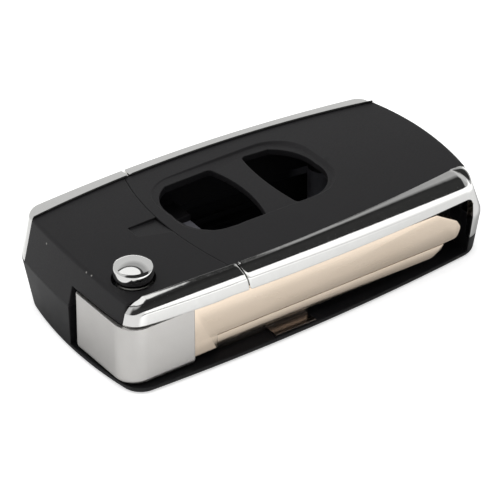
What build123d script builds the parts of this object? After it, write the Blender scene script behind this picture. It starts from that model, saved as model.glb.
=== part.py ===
from build123d import *
import os

# A flip key shell: a black two-part case with plated side strips, and a folding key that lies
# in a slot along the near side. The left part (the key module) carries the key on an upright
# pivot. The right part (the remote module) is an empty case with two button openings, and it
# pulls off along +X. Millimetres. The origin is on the table below the middle of the case,
# +X runs towards the blade's tip, -Y is the side with the slot and +Z is up.

# Outline of the case at its parting line, seen from above
left_end_x = -38.4
right_end_x = 40.1
end_bend_radius = 150.0
end_middle_y = -2.0
near_reach = 19.0
near_widest_x = -8.0
near_bend_radius = 425.0
far_side_reach = 19.9
far_widest_x = -17.0
far_bend_radius = 385.0
left_corner_radius = 4.5
right_corner_radius = 3.5

# The same outline one millimetre above the crown of the lid, where the case is drawn in
top_left_x = -35.9
top_left_bend_radius = 120.0
top_right_x = 36.9
top_right_bend_radius = 55.0
top_side_inset = 0.2
top_corner_radius = 3.0

# Outline of the underside
bottom_left_x = -38.1
bottom_left_bend_radius = 75.0
bottom_right_x = 40.2
bottom_near_flare = 0.4
bottom_near_widest_x = -25.0
bottom_near_bend_radius = 440.0
bottom_far_inset = 1.0
bottom_round = 1.1
bottom_near_corner_radius = 4.0
bottom_far_corner_radius = 7.0
bottom_right_corner_radius = 5.0

# Heights
crown_z = 19.5
crown_x = 10.0
arch_radius = 800.0
crown_radius = 206.0
crown_sweep = 30.0
parting_z = 9.3
slot_top_z = 13.3
floor_z = 1.3

# Walls and gaps
wall = 1.5
lid_wall = 1.6
seam_gap = 0.12
slide_clearance = 0.1
running_clearance = 0.05
rim_step = 0.35
lid_edge_round = 0.7
lid_margin = 1.0
far_away = 60.0

# Plated side strips
near_strip_width = 1.95
far_strip_width = 2.85
panel_widest_x = -9.0
panel_bend_radius = 263.0
near_strip_round = 2.8
far_strip_round = 0.8
strip_line_z = 15.4
strip_line_width = 0.25
strip_line_depth = 0.25
strip_seam_slope = 0.5
post_width = 3.9
post_bottom_z = 4.3
post_inset = 0.25

# Seams between the key module and the remote module
seam_x = -18.4
seam_bend_radius = 53.0
strip_seam_x = -15.6
bottom_seam_x = -7.7
step_floor = 1.2

# Key: its pivot, and how far it leans inward at rest
pivot_from_left_end = 7.4
pivot_from_near_side = 8.8
key_lean = 1.6
head_left = 6.8
head_right = 7.0
head_near = 8.1
head_far = 8.2
head_top_z = 13.05
head_bottom_gap = 0.2
head_corner_round = 4.2
head_far_corner_round = 0.8
head_bottom_round = 1.2
hub_radius = 8.0
well_radius = 11.0
well_wall = 1.1
well_mouth = 9.5

# Blade
blade_thickness = 2.2
blade_face_set_back = 0.5
blade_top_z = 12.1
blade_root_z = 12.8
blade_line_z = 5.4
blade_bottom_z = 3.25
blade_step = 0.25
shoulder_end = 12.0
shoulder_bottom_z = 2.75
strip_end = 59.6
strip_slant = 2.0
tip_end = 64.7
tip_chamfer_start = 59.3
tip_corner_z = 8.8
tip_low_z = 5.9
tip_corner_cut = 0.5
tip_corner_drop = 0.8
tip_low_cut = 1.3
tang_length = 7.9
tang_thickness = 1.7
tang_bottom_z = 3.6
tang_top_z = 12.2
lock_pin_radius = 0.6
lock_pin_x = 5.6
lock_pin_top_z = 12.85
lock_pin_bottom_z = 5.0

# Slot along the near side
slot_back_gap = 0.3
slot_end_gap = 0.05
pocket_start = 32.0
pocket_depth = 3.5

# Release button and the lock barrel below it
barrel_radius = 3.7
barrel_bottom_z = 8.6
barrel_top_z = 15.6
barrel_roof = 1.3
barrel_wall = 0.75
lug_reach = 0.85
lug_width = 1.6
lug_bottom_z = 12.2
keyway_bottom_z = 7.8
stem_radius = 2.4
stem_height = 3.3
cap_radius = 3.6
cap_neck_radius = 2.85
cap_rim_z = 20.3
cap_neck_z = 17.2
cap_dome = 1.2
cap_rim_round = 0.45
cap_hole_gap = 0.25
collar_wall = 0.8
collar_height = 1.5
post_radius = 2.0
post_height = 1.9
bore_floor_z = 4.4

# Coil spring under the button
spring_wire = 0.6
spring_turns = 5.0
spring_seat_gap = 0.02

# Joining tongue that holds the two modules together
tongue_start = 12.5
tongue_end = 32.0
tongue_face = 6.4
tongue_back = 1.2
tongue_top_z = 3.05
tongue_foot = 9.0
tongue_foot_start = 23.5
tongue_foot_height = 0.3

# Button openings in the lid of the remote module
dish_depth = 0.45
dish_length = 31.0
dish_width = 19.2
dish_x = -0.3
dish_y = 2.6
dish_corner_radius = 6.5
dish_slope = 50.0
dish_base_z = 18.4
opening_corner_radius = 1.0
left_opening_sides = (
    ((-11.5, 10.2), (-1.9, 10.5)),
    ((-1.9, 10.5), (-0.5, 1.5), (-1.8, -7.4)),
    ((-1.8, -7.4), (-7.5, -7.6)),
    ((-7.5, -7.6), (-14.0, -4.4), (-15.5, 1.8)),
    ((-15.5, 1.8), (-14.6, 7.2), (-11.5, 10.2)),
)
right_opening_sides = (
    ((4.9, -7.3), (9.3, -7.0)),
    ((9.3, -7.0), (13.3, -4.3), (14.6, 1.4)),
    ((14.6, 1.4), (13.6, 6.6), (10.4, 10.3)),
    ((10.4, 10.3), (4.9, 10.8)),
    ((4.9, 10.8), (3.9, 1.5), (4.9, -7.3)),
)

# Thumbnail scoop by the seam
scoop_start_x = -24.1
scoop_far_y = 2.5
scoop_near_y = -3.2
scoop_depth = 0.55

# Key ring pocket and bar at the right end
ring_pocket_depth = 8.6
ring_pocket_y = 7.0
ring_pocket_width = 11.0
ring_pocket_low_z = 4.0
ring_pocket_high_z = 14.0
ring_wall = 1.3
ring_bar_radius = 1.2
ring_bar_set_back = 4.3
ring_bar_grip = 1.4

# Case screws, put in from below
screw_radius = 0.95
screw_head_radius = 1.9
screw_head_height = 1.3
screw_head_sunk = 0.5
screw_length = 9.5
thread_gap = 0.03
boss_radius = 2.9
boss_hole_z = 12.2
cross_width = 0.45
cross_length = 2.0
cross_depth = 0.7
key_screw_places = ((-34.0, 12.0), (-21.0, 12.2))
remote_screw_places = ((24.0, 12.4), (28.5, -4.5))

# Board ledge inside the remote module
ledge_z = 4.2
ledge_thickness = 1.0
ledge_reach = 1.3
ledge_start_x = -5.0
ledge_end_x = 24.0

# Worked out from the values above
lid_top_z = crown_z + lid_margin
pivot_x = left_end_x + pivot_from_left_end
pivot_y = pivot_from_near_side - near_reach
post_x = right_end_x - post_width
slot_end_x = post_x - slot_end_gap
ring_bar_x = right_end_x - ring_bar_set_back
head_bottom_z = floor_z + head_bottom_gap
blade_face = head_near - blade_face_set_back
blade_back = blade_face - blade_thickness
slot_back = blade_back - slot_back_gap
pocket_back = slot_back - pocket_depth
bore_radius = barrel_radius + running_clearance
collar_outer = barrel_radius + lug_reach + collar_wall
lug_tip = barrel_radius + lug_reach
keyway_tip = lug_tip + slide_clearance
cap_hole_radius = cap_radius + cap_hole_gap
lock_pocket_z = barrel_top_z + slide_clearance
remote_bottom_x = bottom_seam_x + seam_gap


def disc(x, y, radius):
    return Pos(x, y) * Circle(radius)


def between_sides(near, near_x, near_bend, far, far_x, far_bend):
    """The plan between the long shallow arcs of the near and the far side."""
    near_side = disc(near_x, near_bend - near, near_bend)
    return near_side & disc(far_x, far - far_bend, far_bend)


def between_ends(left_x, left_bend, right_x, right_bend):
    """The plan between the arcs of the two end faces."""
    left = disc(left_x + left_bend, end_middle_y, left_bend)
    return left & disc(right_x - right_bend, end_middle_y, right_bend)


def round_corners(plan, left_radius, right_radius):
    plan = fillet(plan.vertices().sort_by(Axis.X)[:2], left_radius)
    return fillet(plan.vertices().sort_by(Axis.X)[-2:], right_radius)


def case_sides(inset):
    near = near_reach - inset
    far = far_side_reach - inset
    return between_sides(near, near_widest_x, near_bend_radius, far, far_widest_x, far_bend_radius)


def body_plan(inset):
    """The case outline at the parting line, drawn in by the same distance all round."""
    bend = end_bend_radius
    plan = case_sides(inset) & between_ends(left_end_x + inset, bend, right_end_x - inset, bend)
    return round_corners(plan, left_corner_radius, right_corner_radius)


def top_plan(inset):
    """The case outline just above the lid, drawn in by the same distance all round."""
    ends = between_ends(
        top_left_x + inset,
        top_left_bend_radius,
        top_right_x - inset,
        top_right_bend_radius,
    )
    return round_corners(case_sides(top_side_inset + inset) & ends, top_corner_radius, top_corner_radius)


def bottom_plan(inset):
    """The outline of the underside, wide below the key and drawn in towards the right."""
    sides = between_sides(
        near_reach + bottom_near_flare - inset,
        bottom_near_widest_x,
        bottom_near_bend_radius,
        far_side_reach - bottom_far_inset - inset,
        far_widest_x,
        far_bend_radius,
    )
    ends = between_ends(
        bottom_left_x + inset,
        bottom_left_bend_radius,
        bottom_right_x - inset,
        end_bend_radius,
    )
    plan = fillet((sides & ends).vertices().sort_by(Axis.X)[-2:], bottom_right_corner_radius)
    far_left = plan.vertices().sort_by_distance((left_end_x, far_side_reach))[0]
    plan = fillet(far_left, bottom_far_corner_radius)
    near_left = plan.vertices().sort_by_distance((left_end_x, -near_reach))[0]
    return fillet(near_left, bottom_near_corner_radius)


def prism(plan, low_z, high_z):
    return extrude(Pos(0, 0, low_z) * plan, high_z - low_z)


def block(low, high):
    """A box from its lowest to its highest corner."""
    size = [b - a for a, b in zip(low, high)]
    return Pos(*low) * Box(*size, align=(Align.MIN, Align.MIN, Align.MIN))


def rod(x, y, radius, low_z, high_z):
    return prism(disc(x, y, radius), low_z, high_z)


def at_pivot(shape):
    """Moves a shape drawn about the pivot to where the key lies at rest."""
    return Pos(pivot_x, pivot_y) * Rot(0, 0, key_lean) * shape


def below_lid(drop):
    """Everything below the doubly arched top, lowered by drop."""
    side = Pos(crown_x, crown_z - arch_radius) * Circle(arch_radius)
    side = side & Pos(crown_x, -crown_z) * Rectangle(2 * far_away, 4 * crown_z)
    spin = Axis((0, 0, crown_z - crown_radius), (1, 0, 0))
    turned = (Plane.XZ * side).rotate(spin, -crown_sweep / 2)
    return Pos(0, 0, -drop) * revolve(turned, spin, revolution_arc=crown_sweep)


def upper_body(drop, edge_round):
    """The case above the parting line, with its top edge rounded."""
    low = Pos(0, 0, parting_z) * body_plan(0.0)
    high = Pos(0, 0, lid_top_z) * top_plan(0.0)
    body = loft([low, high], ruled=True) & below_lid(drop)
    return fillet(body.faces().sort_by(Axis.Z)[-1].edges(), edge_round)


def lower_body():
    """The case below the parting line, with its bottom edge rounded."""
    low = bottom_plan(0.0)
    high = Pos(0, 0, parting_z) * body_plan(0.0)
    body = loft([low, high], ruled=True)
    return fillet(body.faces().sort_by(Axis.Z)[0].edges(), bottom_round)


def panel(inset):
    """The plan of the black lid between the two plated strips."""
    near = near_reach - near_strip_width - inset
    far = far_side_reach - far_strip_width - inset
    middle = panel_widest_x
    return between_sides(near, middle, panel_bend_radius, far, middle, panel_bend_radius)


def key_slot():
    """The room that the blade lies in, open along the near side."""
    shallow = block((-far_away, -far_away, floor_z), (pocket_start, -slot_back, slot_top_z))
    deep = block((pocket_start, -far_away, floor_z), (2 * far_away, -pocket_back, slot_top_z))
    room = at_pivot(shallow + deep)
    return room & block((-far_away, -far_away, 0), (slot_end_x, far_away, crown_z))


def head_well():
    """The round room that the head turns in, with its opening in the left end."""
    room = rod(pivot_x, pivot_y, well_radius, floor_z, slot_top_z)
    mouth = block((-far_away, -far_away, floor_z), (pivot_x, pivot_y + well_mouth, slot_top_z))
    return room + mouth


def remote_side(gap):
    """The plan to the right of the lid seam."""
    return disc(seam_x + seam_bend_radius, 0, seam_bend_radius - gap)


def strip_side(gap):
    """The space to the right of the slanted seam in the plated strips."""
    corners = (
        (strip_seam_x + gap, lid_top_z),
        (strip_seam_x + gap + strip_seam_slope * lid_top_z, 0),
        (far_away, 0),
        (far_away, lid_top_z),
    )
    face = Plane.XZ * make_face(Polyline(*corners, close=True))
    return extrude(face, far_away, both=True)


def hollow(inset_lid, inset_walls, low_z):
    """The room inside the case, below the lid's own thickness."""
    above = prism(panel(inset_lid) & top_plan(inset_walls), parting_z - wall, crown_z)
    below = prism(body_plan(inset_walls) & bottom_plan(inset_walls), low_z, parting_z - wall)
    return (above + below) & below_lid(rim_step + lid_wall)


def screw_boss(place, low_z, high_z):
    """A round boss for a case screw."""
    return rod(*place, boss_radius, low_z, high_z)


def screw_hole(place):
    """The blind hole in the lid that a case screw bites into."""
    return rod(*place, screw_radius + thread_gap, parting_z, boss_hole_z)


def screw(place):
    """A small case screw with a pan head and a cross recess."""
    top = screw_head_sunk + screw_head_height + screw_length
    shank = rod(*place, screw_radius, screw_head_sunk, top)
    head = rod(*place, screw_head_radius, screw_head_sunk, screw_head_sunk + screw_head_height)
    head = fillet(head.edges().sort_by(Axis.Z)[:1], screw_head_height / 3)
    cut = Box(cross_length, cross_width, 2 * cross_depth)
    cut = cut + Box(cross_width, cross_length, 2 * cross_depth)
    return head + shank - Pos(*place, screw_head_sunk) * cut


def screw_seat(place):
    """What a case screw needs cut away from below."""
    seat_z = screw_head_sunk + screw_head_height
    room = rod(*place, screw_head_radius + slide_clearance, 0, seat_z)
    return room + rod(*place, screw_radius + slide_clearance, seat_z, parting_z)


def ring_pocket(grow):
    """The room for a key ring, open at the right end."""
    half = ring_pocket_width / 2 + grow
    low = (right_end_x - ring_pocket_depth - grow, ring_pocket_y - half, ring_pocket_low_z - grow)
    high = (far_away, ring_pocket_y + half, ring_pocket_high_z + grow)
    return block(low, high)


def ring_bar(radius, grip):
    return rod(ring_bar_x, ring_pocket_y, radius, ring_pocket_low_z - grip, ring_pocket_high_z + grip)


def corner_post():
    """The corner at the blade's tip, where the plated strip runs down to the bottom cover."""
    return block((post_x, -far_away, post_bottom_z), (far_away, 0, lid_top_z))


def opening_plan(sides):
    """One opening: each side is a straight line of two points or an arc of three."""
    with BuildSketch() as sketch:
        with BuildLine():
            for points in sides:
                if len(points) == 2:
                    Line(*points)
                else:
                    ThreePointArc(*points)
        make_face()
        middle = (dish_x, dish_y, 0)
        fillet(sketch.vertices().sort_by_distance(middle)[:2], opening_corner_radius)
    return sketch.sketch


def button_openings():
    """The two openings for the button pad."""
    left = opening_plan(left_opening_sides)
    right = opening_plan(right_opening_sides)
    return prism(left, parting_z, crown_z) + prism(right, parting_z, crown_z)


def button_dish():
    """The shallow dish round both openings, its floor parallel to the lid."""
    plan = Pos(dish_x, dish_y, dish_base_z)
    plan = plan * RectangleRounded(dish_length, dish_width, dish_corner_radius)
    room = extrude(plan, lid_top_z - dish_base_z, taper=-dish_slope)
    return room - below_lid(rim_step + dish_depth)


def key_module_lid_cover():
    lid = upper_body(rim_step, lid_edge_round) & prism(panel(seam_gap), 0, crown_z)
    lid = lid - prism(remote_side(0.0), 0, crown_z)
    room = hollow(wall, wall, floor_z) - prism(remote_side(-step_floor), 0, crown_z)
    well = rod(pivot_x, pivot_y, well_radius + well_wall, parting_z, crown_z)
    tower = rod(pivot_x, pivot_y, collar_outer + wall, slot_top_z, crown_z)
    room = room - (well - head_well()) - tower
    for place in key_screw_places:
        room = room - screw_boss(place, parting_z, crown_z)
    lid = lid - room - key_slot() - head_well()
    for place in key_screw_places:
        lid = lid - screw_hole(place)
    return lid - button_bore() - lid_scoop()


def button_bore():
    """The bearing, the lock pocket and the hole for the button, in the key module's lid."""
    collar_top = head_top_z + collar_height + slide_clearance
    bearing = rod(pivot_x, pivot_y, collar_outer + running_clearance, parting_z, collar_top)
    pocket = rod(pivot_x, pivot_y, keyway_tip + slide_clearance, parting_z, lock_pocket_z)
    hole = rod(pivot_x, pivot_y, cap_hole_radius, parting_z, crown_z)
    return bearing + pocket + hole


def lid_scoop():
    """A shallow scoop by the seam that fades out towards the near side."""
    deep = crown_z - rim_step - scoop_depth - (crown_x - seam_x) ** 2 / (2 * arch_radius)
    shallow = deep + scoop_depth
    corners = (
        (scoop_far_y, crown_z),
        (scoop_far_y, deep),
        (scoop_near_y, shallow),
        (scoop_near_y, crown_z),
    )
    face = Plane.YZ * make_face(Polyline(*corners, close=True))
    return extrude(Pos(scoop_start_x, 0, 0) * face, seam_x - scoop_start_x + wall)


def bottom_blank():
    """The whole bottom of the case before it is split at its seam."""
    return lower_body() - (corner_post() - prism(panel(0.0), 0, crown_z))


def key_module_bottom_cover():
    blank = bottom_blank() & block((-far_away, -far_away, 0), (bottom_seam_x, far_away, crown_z))
    keep = block((-far_away, -far_away, 0), (bottom_seam_x - wall, far_away, crown_z))
    room = hollow(wall, wall, floor_z) & keep
    deck = block((seam_x, -far_away, parting_z - step_floor), (far_away, far_away, crown_z))
    well = rod(pivot_x, pivot_y, well_radius + well_wall, 0, parting_z)
    slot_wall = at_pivot(block((0, -slot_back, 0), (far_away, wall - slot_back, parting_z)))
    room = room - deck - well - slot_wall
    for place in key_screw_places:
        room = room - screw_boss(place, 0, parting_z)
    cover = blank - room - head_well() - key_slot() - joining_tongue(0.0)
    for place in key_screw_places:
        cover = cover - screw_seat(place)
    pivot_post = rod(pivot_x, pivot_y, post_radius, floor_z, floor_z + post_height)
    return cover + pivot_post


def remote_lid_cover():
    lid = upper_body(rim_step, lid_edge_round) & prism(panel(seam_gap), 0, crown_z)
    lid = lid & prism(remote_side(seam_gap), parting_z, crown_z)
    room = remote_room() & prism(remote_side(step_floor + seam_gap), 0, crown_z)
    step_end = (remote_bottom_x + wall, far_away, parting_z + step_floor)
    room = room - block((-far_away, -far_away, parting_z), step_end)
    for place in remote_screw_places:
        room = room - screw_boss(place, parting_z, crown_z)
    lid = lid - room - key_slot() - ring_pocket(0.0) - ring_bar(ring_bar_radius, ring_bar_grip)
    lid = lid - button_openings() - button_dish()
    for place in remote_screw_places:
        lid = lid - screw_hole(place)
    return lid - (corner_post() - prism(panel(seam_gap), 0, crown_z))


def remote_room():
    """The empty room inside the remote module, clear of the slot and the ring pocket."""
    guard_end = (2 * far_away, wall - pocket_back, slot_top_z + wall)
    room = hollow(wall, wall, floor_z) - at_pivot(block((-far_away, -far_away, 0), guard_end))
    corner = block((post_x - wall, -far_away, 0), (far_away, ring_pocket_y, crown_z))
    return room - ring_pocket(ring_wall) - corner


def remote_bottom_cover():
    blank = bottom_blank() & block((remote_bottom_x, -far_away, 0), (far_away, far_away, crown_z))
    inside = block((remote_bottom_x + wall, -far_away, 0), (far_away, far_away, crown_z))
    room = remote_room() & inside
    for place in remote_screw_places:
        room = room - screw_boss(place, 0, parting_z)
    ledge_y = far_side_reach - bottom_far_inset - wall - ledge_reach
    low = (ledge_start_x, ledge_y, ledge_z - ledge_thickness)
    high = (ledge_end_x, far_away, ledge_z)
    room = room - block(low, high)
    cover = blank - room - key_slot() - joining_tongue(slide_clearance)
    cover = cover - ring_pocket(0.0) - ring_bar(ring_bar_radius, ring_bar_grip)
    for place in remote_screw_places:
        cover = cover - screw_seat(place)
    return cover


def joining_tongue(grow):
    """The plated tongue of the key module that slides into the remote module, with its flat foot."""
    low = (tongue_start - grow, -tongue_face - grow, floor_z - grow)
    high = (tongue_end + grow, -tongue_back + grow, tongue_top_z + grow)
    foot_low = (tongue_foot_start - grow, -tongue_foot - grow, floor_z - grow)
    foot_high = (tongue_end + grow, -tongue_face, floor_z + tongue_foot_height + grow)
    return at_pivot(block(low, high) + block(foot_low, foot_high))


def strip_blank(edge_round):
    """The plated strips as one ring, before they are cut apart."""
    body = upper_body(0.0, edge_round)
    return body - prism(panel(0.0), 0, 2 * crown_z) - strip_line()


def strip_line():
    """The fine line that runs along the strips below their bulge."""
    slab = prism(body_plan(-1.0), strip_line_z, strip_line_z + strip_line_width)
    return slab - prism(body_plan(strip_line_depth + top_side_inset / 2), 0, crown_z)


def near_strips():
    """Both strips on the near side, with the post at the blade's tip."""
    near = block((-far_away, -far_away, slot_top_z), (far_away, 0, 2 * crown_z))
    strips = strip_blank(near_strip_round) & near
    whole = upper_body(0.0, near_strip_round) + lower_body()
    post = whole & corner_post() & prism(body_plan(post_inset), 0, slot_top_z)
    return strips + (post - prism(panel(0.0), 0, crown_z))


def far_strips():
    far = block((-far_away, 0, parting_z), (far_away, far_away, 2 * crown_z))
    return strip_blank(far_strip_round) & far


def key_head():
    """The cast head of the key, drawn about the pivot."""
    wide = head_left + head_right
    deep = head_near + head_far
    plan = Pos((head_right - head_left) / 2, (head_far - head_near) / 2) * Rectangle(wide, deep)
    near_left, far_left = plan.vertices().sort_by(Axis.X)[:2].sort_by(Axis.Y)
    plan = fillet(near_left, head_corner_round)
    far_left = plan.vertices().sort_by_distance((-head_left, head_far))[0]
    plan = fillet(far_left, head_far_corner_round)
    head = prism(plan, head_bottom_z, head_top_z)
    head = fillet(head.faces().sort_by(Axis.Z)[0].edges(), head_bottom_round)
    left = Pos(-head_left / 2, 0) * Rectangle(head_left, 4 * head_near)
    near = Pos(0, -head_near) * Rectangle(4 * head_right, head_near)
    head = head & prism(Circle(hub_radius) + left + near, 0, crown_z)
    collar = rod(0, 0, collar_outer, head_top_z, head_top_z + collar_height)
    keyway = lug_block(keyway_tip, lug_width / 2 + slide_clearance, keyway_bottom_z, crown_z)
    head = head + collar - rod(0, 0, bore_radius, bore_floor_z, crown_z) - keyway
    head = head - rod(0, 0, post_radius + running_clearance, 0, floor_z + post_height + slide_clearance)
    return at_pivot(head - tang(running_clearance) - lock_pin(running_clearance))


def lug_block(reach, half, low_z, high_z):
    """Two opposite lugs, or the room for them."""
    return block((-reach, -half, low_z), (reach, half, high_z)) & rod(0, 0, reach, low_z, high_z)


def tang(gap):
    """The end of the blade that is held in the head."""
    middle = blade_face - blade_thickness / 2
    half = tang_thickness / 2 + gap
    low = (head_right - tang_length - gap, -middle - half, tang_bottom_z - gap)
    high = (head_right + gap, -middle + half, tang_top_z + gap)
    return block(low, high)


def lock_pin(gap):
    """A cross pin that sits half in the tang and half in the head."""
    y = -(blade_face - blade_thickness / 2 - tang_thickness / 2)
    top = lock_pin_top_z + (crown_z if gap else 0)
    return rod(lock_pin_x, y, lock_pin_radius + gap, lock_pin_bottom_z - gap, top)


def key_blade():
    """The uncut blade, drawn about the pivot, with its face towards the near side."""
    main = Polyline(
        (head_right, blade_root_z),
        (tip_chamfer_start, blade_top_z),
        (tip_end - tip_corner_cut, tip_corner_z),
        (tip_end, tip_corner_z - tip_corner_drop),
        (tip_end - tip_low_cut, tip_low_z),
        (strip_end + strip_slant, blade_line_z),
        (head_right, blade_line_z),
        close=True,
    )
    lower = Polyline(
        (head_right, blade_line_z),
        (strip_end + strip_slant, blade_line_z),
        (strip_end, blade_bottom_z),
        (shoulder_end, blade_bottom_z),
        (shoulder_end, blade_line_z),
        close=True,
    )
    shoulder = Polyline(
        (head_right, blade_line_z),
        (shoulder_end, blade_line_z),
        (shoulder_end, shoulder_bottom_z),
        (head_right, shoulder_bottom_z),
        close=True,
    )
    flat = blade_slice(main, blade_face) + blade_slice(shoulder, blade_face)
    blade = flat + blade_slice(lower, blade_face - blade_step)
    return at_pivot(blade + tang(0.0) - lock_pin(running_clearance))


def blade_slice(outline, face):
    """A flat slice of the blade from the given face to its back."""
    sheet = Plane.XZ.offset(blade_back) * make_face(outline)
    return extrude(sheet, face - blade_back)


def lock_barrel():
    """The hollow barrel that slides in the head, with two lugs and a stem for the cap."""
    tube = rod(0, 0, barrel_radius, barrel_bottom_z, barrel_top_z)
    tube = tube + lug_block(lug_tip, lug_width / 2, lug_bottom_z, barrel_top_z)
    room = rod(0, 0, barrel_radius - barrel_wall, barrel_bottom_z, barrel_top_z - barrel_roof)
    stem = rod(0, 0, stem_radius, barrel_top_z, barrel_top_z + stem_height)
    return at_pivot(tube - room + stem)


def release_button_cap():
    """The domed cap, wide at its rim and drawn in below it."""
    stem_top = barrel_top_z + stem_height
    skirt = Cone(
        cap_neck_radius,
        cap_radius,
        cap_rim_z - cap_neck_z,
        align=(Align.CENTER, Align.CENTER, Align.MIN),
    )
    skirt = Pos(0, 0, cap_neck_z) * skirt
    dome_radius = (cap_radius**2 + cap_dome**2) / (2 * cap_dome)
    dome = Pos(0, 0, cap_rim_z + cap_dome - dome_radius) * Sphere(dome_radius)
    dome = dome & rod(0, 0, cap_radius, cap_rim_z, crown_z + cap_dome + lid_margin)
    cap = skirt + dome
    rim = cap.edges().filter_by_position(Axis.Z, cap_rim_z - seam_gap, cap_rim_z + seam_gap)
    cap = fillet(rim, cap_rim_round)
    return at_pivot(cap - rod(0, 0, stem_radius, cap_neck_z, stem_top))


def flip_spring():
    """The coil spring between the head and the barrel."""
    radius = barrel_radius - barrel_wall - spring_wire / 2 - slide_clearance
    low = bore_floor_z + spring_wire / 2 + spring_seat_gap
    high = barrel_top_z - barrel_roof - spring_wire / 2 - spring_seat_gap
    path = Helix((high - low) / spring_turns, high - low, radius)
    wire = Plane(origin=path @ 0, z_dir=path % 0) * Circle(spring_wire / 2)
    return at_pivot(Pos(0, 0, low) * sweep(wire, path))


def write(name, shape):
    solids = shape.solids()
    whole = solids[0] if len(solids) == 1 else Compound(solids)
    export_step(whole, f"parts/{name}.step")


def main():
    os.makedirs("parts", exist_ok=True)
    near = near_strips()
    far = far_strips()
    write("key_module_top_cover", key_module_lid_cover())
    write("key_module_bottom_cover", key_module_bottom_cover())
    write("remote_top_cover", remote_lid_cover())
    write("remote_bottom_cover", remote_bottom_cover())
    write("near_front_strip", near - strip_side(0.0))
    write("near_rear_strip", near & strip_side(seam_gap))
    write("far_front_strip", far - strip_side(0.0))
    write("far_rear_strip", far & strip_side(seam_gap))
    write("joining_tongue", joining_tongue(0.0))
    write("key_ring_bar", ring_bar(ring_bar_radius, ring_bar_grip))
    for number, place in enumerate(key_screw_places, 1):
        write(f"key_module_screw_{number}", screw(place))
    for number, place in enumerate(remote_screw_places, 1):
        write(f"remote_screw_{number}", screw(place))
    write("key_head", key_head())
    write("key_blade", key_blade())
    write("blade_lock_pin", at_pivot(lock_pin(0.0)))
    write("lock_barrel", lock_barrel())
    write("release_button_cap", release_button_cap())
    write("flip_spring", flip_spring())


main()
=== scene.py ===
import math
from functools import lru_cache

import bmesh
import bpy
import numpy as np
from mathutils import Matrix, Vector


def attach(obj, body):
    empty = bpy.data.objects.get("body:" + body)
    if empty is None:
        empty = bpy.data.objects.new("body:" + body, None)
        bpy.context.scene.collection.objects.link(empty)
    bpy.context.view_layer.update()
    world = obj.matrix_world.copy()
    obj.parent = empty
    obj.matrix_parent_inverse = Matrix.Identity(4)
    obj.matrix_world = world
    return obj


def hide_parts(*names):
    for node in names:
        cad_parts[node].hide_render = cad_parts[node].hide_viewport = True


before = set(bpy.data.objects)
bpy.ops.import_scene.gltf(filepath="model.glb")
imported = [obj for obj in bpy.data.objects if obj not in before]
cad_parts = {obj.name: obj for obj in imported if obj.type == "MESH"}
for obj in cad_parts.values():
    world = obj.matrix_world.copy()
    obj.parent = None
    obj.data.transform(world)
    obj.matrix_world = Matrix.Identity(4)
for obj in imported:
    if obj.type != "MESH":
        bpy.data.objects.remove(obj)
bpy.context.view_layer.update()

MM = 0.001


# Small helpers for the finishes
# Inputs are given by name or by number. By number, those of a Map Range are the value, the two ends it
# comes from and the two it goes to. Those of a Mix are the share, then 2 and 3 for numbers or 6 and 7
# for colours

def linear(hex_colour):
    """A colour written as an sRGB hex value, as linear red, green, blue and full alpha."""
    parts = [int(hex_colour[i:i + 2], 16) / 255 for i in (1, 3, 5)]
    return [c / 12.92 if c <= 0.04045 else ((c + 0.055) / 1.055) ** 2.4 for c in parts] + [1.0]


def add(tree, kind, inputs=None, **settings):
    """Adds a node with its settings. An input gets a value, or is linked to a socket or to the first
    output that another node uses."""
    made = tree.nodes.new(kind)
    for name, value in settings.items():
        setattr(made, name, value)
    for key, value in (inputs or {}).items():
        if isinstance(value, bpy.types.Node):
            value = next(out for out in value.outputs if out.enabled)
        if isinstance(value, bpy.types.NodeSocket):
            tree.links.new(value, made.inputs[key])
        else:
            made.inputs[key].default_value = value
    return made


def new_finish(name):
    """An empty material with its node tree, and coordinates in millimetres that ride with the piece."""
    finish = bpy.data.materials.new(name)
    finish.use_nodes = True
    tree = finish.node_tree
    tree.nodes.clear()
    place = add(tree, "ShaderNodeTexCoord").outputs["Object"]
    return finish, tree, add(tree, "ShaderNodeVectorMath", {0: place, "Scale": 1 / MM}, operation="SCALE")


def grain(tree, place, size, detail=2.0, stretch=(1.0, 1.0, 1.0)):
    """Noise whose spots are about size millimetres across, stretched along an axis where asked."""
    pulled = add(tree, "ShaderNodeMapping", {"Vector": place, "Scale": [1 / (size * s) for s in stretch]})
    return add(tree, "ShaderNodeTexNoise", {"Vector": pulled, "Scale": 1.0, "Detail": detail})


def soft_edges(tree, radius):
    """The normal with each edge rounded by radius millimetres, and a mask that is 1 on those edges."""
    rounded = add(tree, "ShaderNodeBevel", {"Radius": radius * MM}, samples=6)
    flat = add(tree, "ShaderNodeNewGeometry").outputs["Normal"]
    same = add(tree, "ShaderNodeVectorMath", {0: rounded, 1: flat}, operation="DOT_PRODUCT")
    return rounded, add(tree, "ShaderNodeMapRange", {0: same, 1: 0.995, 2: 0.8})


def dust(tree, place, cell, share):
    """A few specks: one in each cell of that size in millimetres, in that share of the cells."""
    spots = add(tree, "ShaderNodeTexVoronoi", {"Vector": place, "Scale": 1 / cell})
    chance = add(tree, "ShaderNodeSeparateColor", {"Color": spots.outputs["Color"]})
    chosen = add(tree, "ShaderNodeMath", {0: chance, 1: 1 - share}, operation="GREATER_THAN")
    near = add(tree, "ShaderNodeMapRange", {0: spots.outputs["Distance"], 1: 0.09, 2: 0.05})
    return add(tree, "ShaderNodeMath", {0: chosen, 1: near}, operation="MULTIPLY")


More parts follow.
